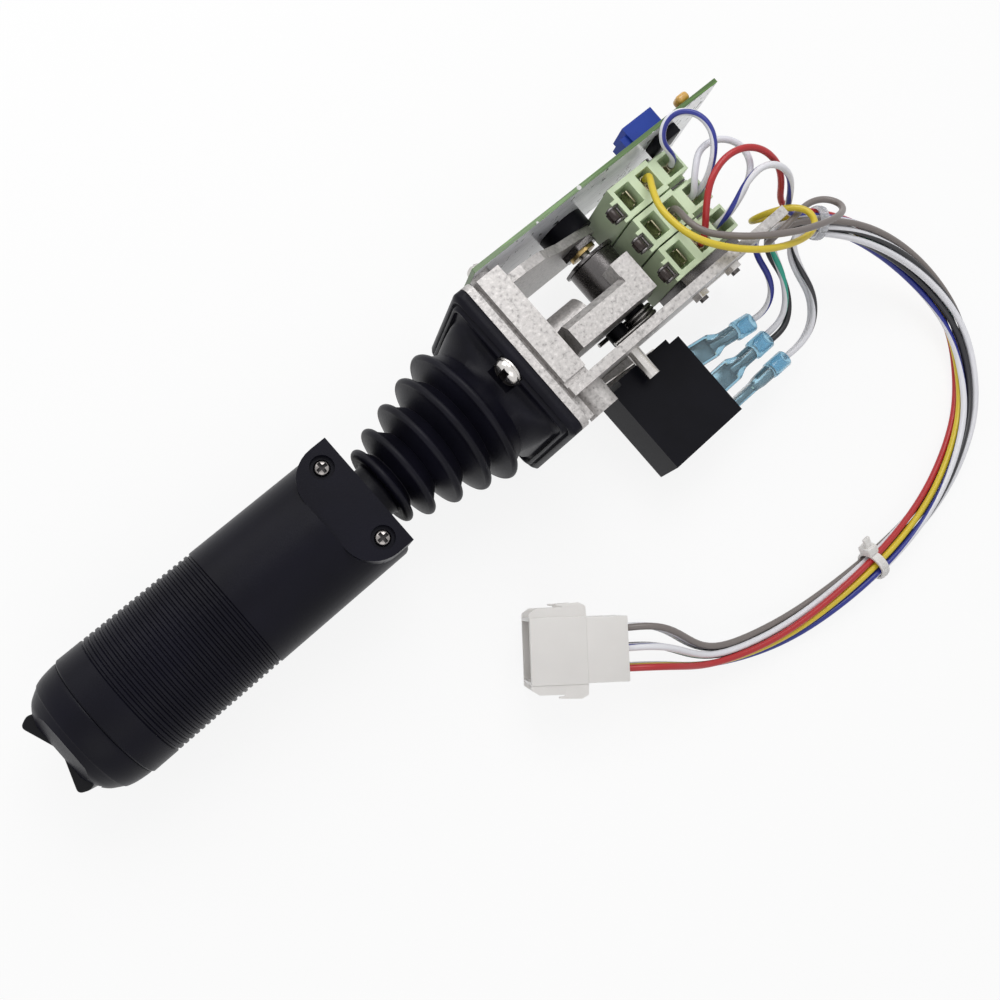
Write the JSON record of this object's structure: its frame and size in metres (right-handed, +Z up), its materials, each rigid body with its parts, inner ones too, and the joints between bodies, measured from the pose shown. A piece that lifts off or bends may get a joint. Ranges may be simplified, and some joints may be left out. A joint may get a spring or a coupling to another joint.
{
  "type": "industrial joystick",
  "caption": "Open-frame single-axis industrial joystick with rubber boot, thumb rocker grip, cam switches, limit switch and a wired connector.",
  "frame": {"origin": "middle of the metal flange's front face, on the lever's axis", "axes": "+X from the flange to the grip's end along the lever, +Z up from the surface it lies on, +Y towards the limit switch; the lever swings about Y"},
  "size_m": [0.3311, 0.1726, 0.0615],
  "materials": {
    "cast_metal": "fine speckled cast surface",
    "black_rubber": "satin moulded rubber",
    "bright_zinc": "bright plated",
    "board_green": "green lacquered laminate",
    "trimmer_blue": "moulded, satin",
    "cap_amber": "dipped, glossy",
    "black_plastic": "fine matt grain",
    "brass": "turned brass",
    "dark_steel": "blackened",
    "steel": "turned steel",
    "switch_green": "pale moulded plastic",
    "blade_brass": "plated blades",
    "terminal_blue": "translucent moulded nylon",
    "nylon_white": "milky moulded nylon",
    "tie_clear": "clear moulded nylon",
    "wire_red": "smooth wire jacket",
    "wire_white": "smooth wire jacket",
    "wire_yellow": "smooth wire jacket",
    "wire_grey": "smooth wire jacket",
    "wire_black": "smooth wire jacket"
  },
  "bodies": {
    "frame": {"casting": "cast_metal", "boot": "black_rubber", "flange_screws": "bright_zinc", "flange_washers": "bright_zinc", "circuit_board": "board_green", "board_screws": "bright_zinc", "trimmer": "trimmer_blue", "trimmer_screw": "brass", "board_parts": "cap_amber", "sensor": "black_plastic", "sensor_bush": "brass", "sensor_nut": "dark_steel", "rail_bush": "steel", "centring_post": "bright_zinc", "post_sleeve": "black_plastic", "centring_spring": "steel", "switch_housing_1": "switch_green", "switch_housing_2": "switch_green", "switch_housing_3": "switch_green", "switch_blades": "blade_brass", "switch_crimps": "blade_brass", "switch_strips": "dark_steel", "switch_screws": "dark_steel", "switch_nuts": "bright_zinc", "limit_switch": "black_plastic", "limit_pin": "steel", "limit_screws": "bright_zinc", "limit_blades": "blade_brass", "blue_terminals": "terminal_blue", "wire_red": "wire_red", "wire_white_blue": "wire_white", "wire_yellow": "wire_yellow", "wire_grey": "wire_grey", "wire_blue_stripe": "wire_white", "wire_black": "wire_black", "wire_yellow_stripe": "wire_white", "wire_black_stripe": "wire_white", "wire_white": "wire_white", "jumper_blue": "wire_white", "jumper_white": "wire_white", "cable_ties": "tie_clear", "connector": "nylon_white", "plug_contacts": "blade_brass"},
    "lever": {"lever_rod": "steel", "arm": "cast_metal", "hub": "dark_steel", "hub_plate": "dark_steel", "pivot_shaft": "steel", "pivot_spacer": "black_plastic", "grip": "black_plastic", "grip_core": "steel", "flat_screws": "dark_steel", "grip_cap": "black_plastic", "rocker_pin": "steel", "thumb_switch": "black_plastic"},
    "rocker": {"rocker": "black_plastic"},
    "roller_1": {"roller_lever_1": "dark_steel"},
    "roller_2": {"roller_lever_2": "dark_steel"},
    "roller_3": {"roller_lever_3": "dark_steel"},
    "leaf": {"limit_leaf": "bright_zinc"}
  },
  "joints": [
    {"name": "lever_swing", "type": "hinge", "parent": "frame", "child": "lever", "pos_m": [-0.0499, 0, 0], "axis": [0, 1, 0], "range_deg": [-12, 12], "stiffness_Nm_per_rad": 4, "deforming": ["boot", "centring_spring"]},
    {"name": "thumb_rocker", "type": "hinge", "parent": "lever", "child": "rocker", "pos_m": [0.1588, 0, 0], "axis": [0, 0, 1], "range_deg": [-10, 10], "stiffness_Nm_per_rad": 0.05},
    {"name": "roller_swing_1", "type": "hinge", "parent": "frame", "child": "roller_1", "pos_m": [-0.0584, 0, 0.0199], "axis": [0, -1, 0], "range_deg": [0, 12], "stiffness_Nm_per_rad": 0.02},
    {"name": "roller_swing_2", "type": "hinge", "parent": "frame", "child": "roller_2", "pos_m": [-0.0584, 0, 0.0199], "axis": [0, -1, 0], "range_deg": [0, 12], "stiffness_Nm_per_rad": 0.02},
    {"name": "roller_swing_3", "type": "hinge", "parent": "frame", "child": "roller_3", "pos_m": [-0.0584, 0, 0.0199], "axis": [0, -1, 0], "range_deg": [0, 12], "stiffness_Nm_per_rad": 0.02},
    {"name": "leaf_press", "type": "hinge", "parent": "frame", "child": "leaf", "pos_m": [-0.0504, 0.0234, 0], "axis": [0, 0, 1], "range_deg": [0, 4], "stiffness_Nm_per_rad": 0.02}
  ]
}
